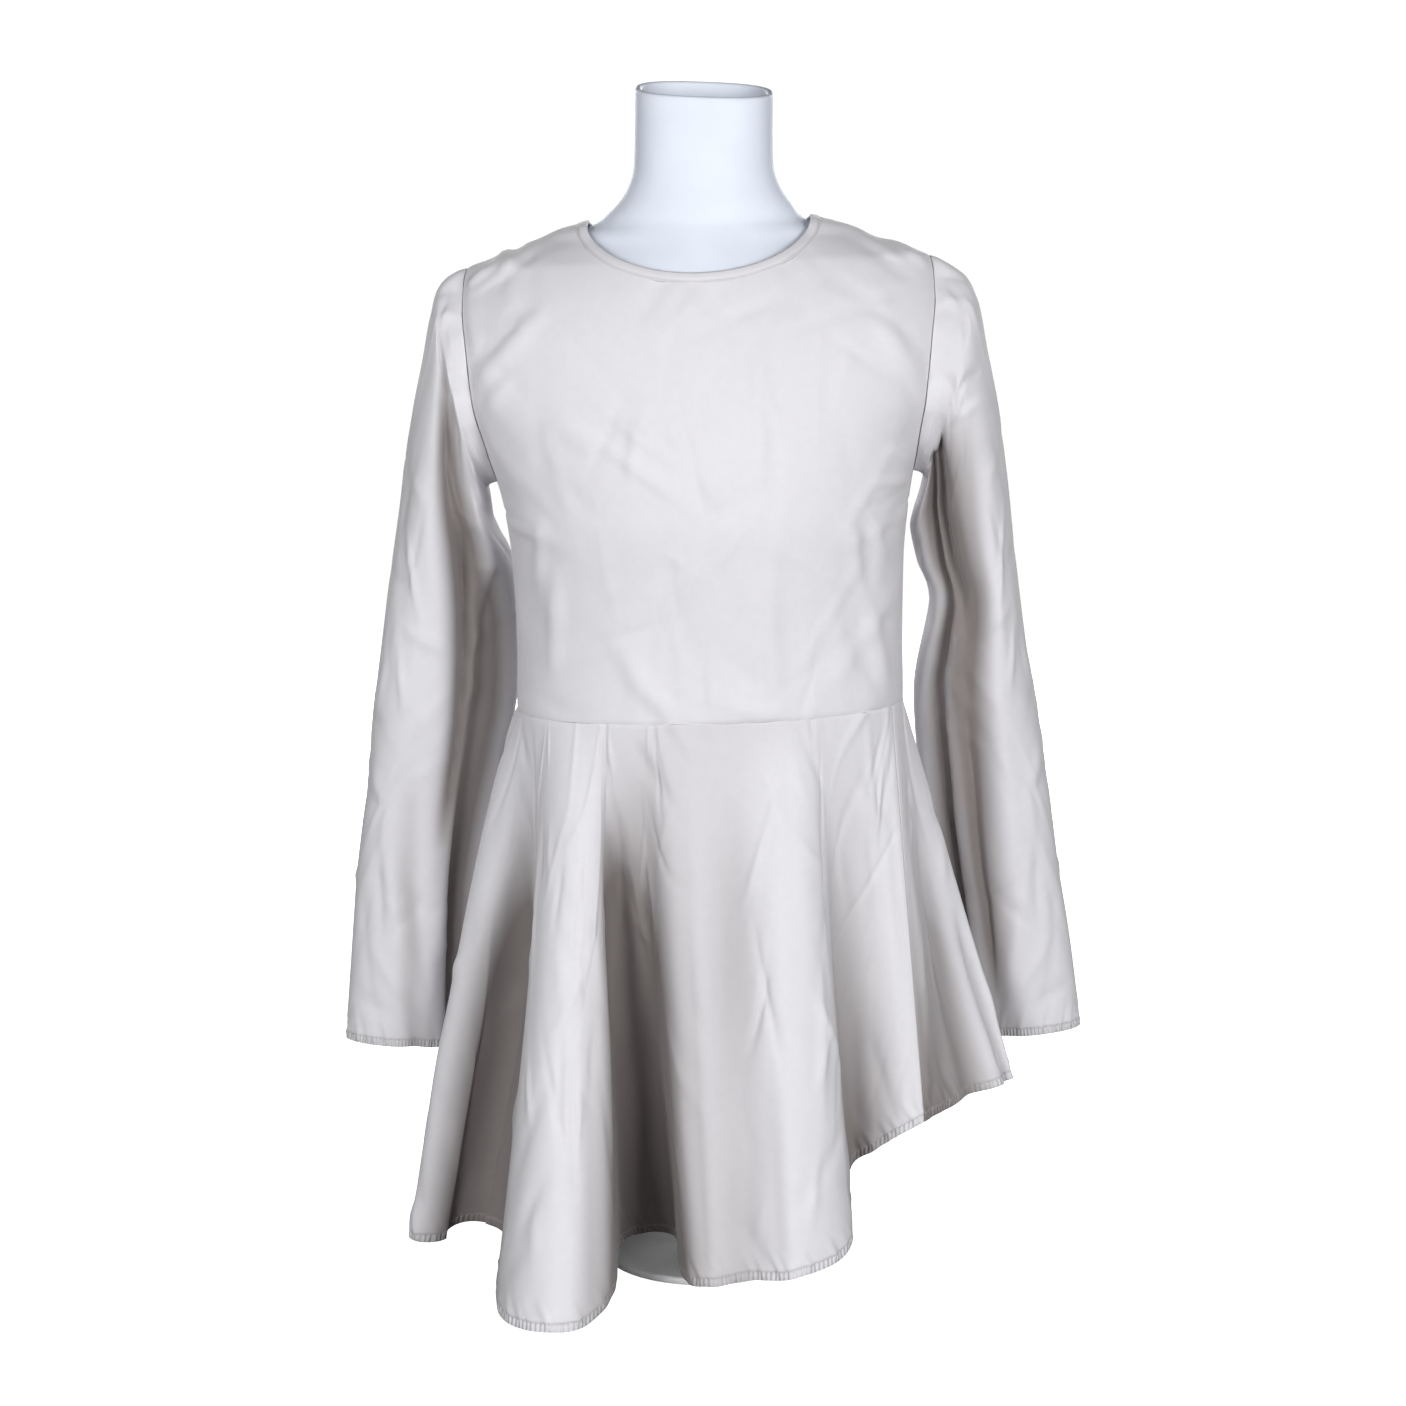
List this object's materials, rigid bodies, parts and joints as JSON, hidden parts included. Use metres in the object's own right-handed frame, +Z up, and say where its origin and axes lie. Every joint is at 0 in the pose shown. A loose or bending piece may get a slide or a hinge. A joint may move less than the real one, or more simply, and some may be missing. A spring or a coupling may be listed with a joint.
{
  "type": "blouse on display form",
  "caption": "Long-sleeved blouse with a narrow neck band, waist seam and a flared, slanting skirt part in deep folds, on a limbless display form with pole and base.",
  "frame": {"origin": "centre of the round base's flat underside, on the surface that the form stands on", "axes": "+Z up, the garment's front towards -Y, +X towards the wearer's left"},
  "size_m": [0.6015, 0.3793, 0.9238],
  "materials": {
    "stone_cloth": "smooth fine weave with a soft sheen",
    "white_plastic": "satin white",
    "pole_white": "satin white paint",
    "button_plastic": "pale polished"
  },
  "bodies": {
    "root": {"bodice_front": "stone_cloth", "bodice_back": "stone_cloth", "neck_binding": "stone_cloth", "sleeve_left": "stone_cloth", "sleeve_right": "stone_cloth", "skirt_front": "stone_cloth", "skirt_back": "stone_cloth", "back_button": "button_plastic", "button_loop": "stone_cloth", "form_torso": "white_plastic", "form_pole": "pole_white", "form_base": "pole_white"}
  },
  "joints": []
}
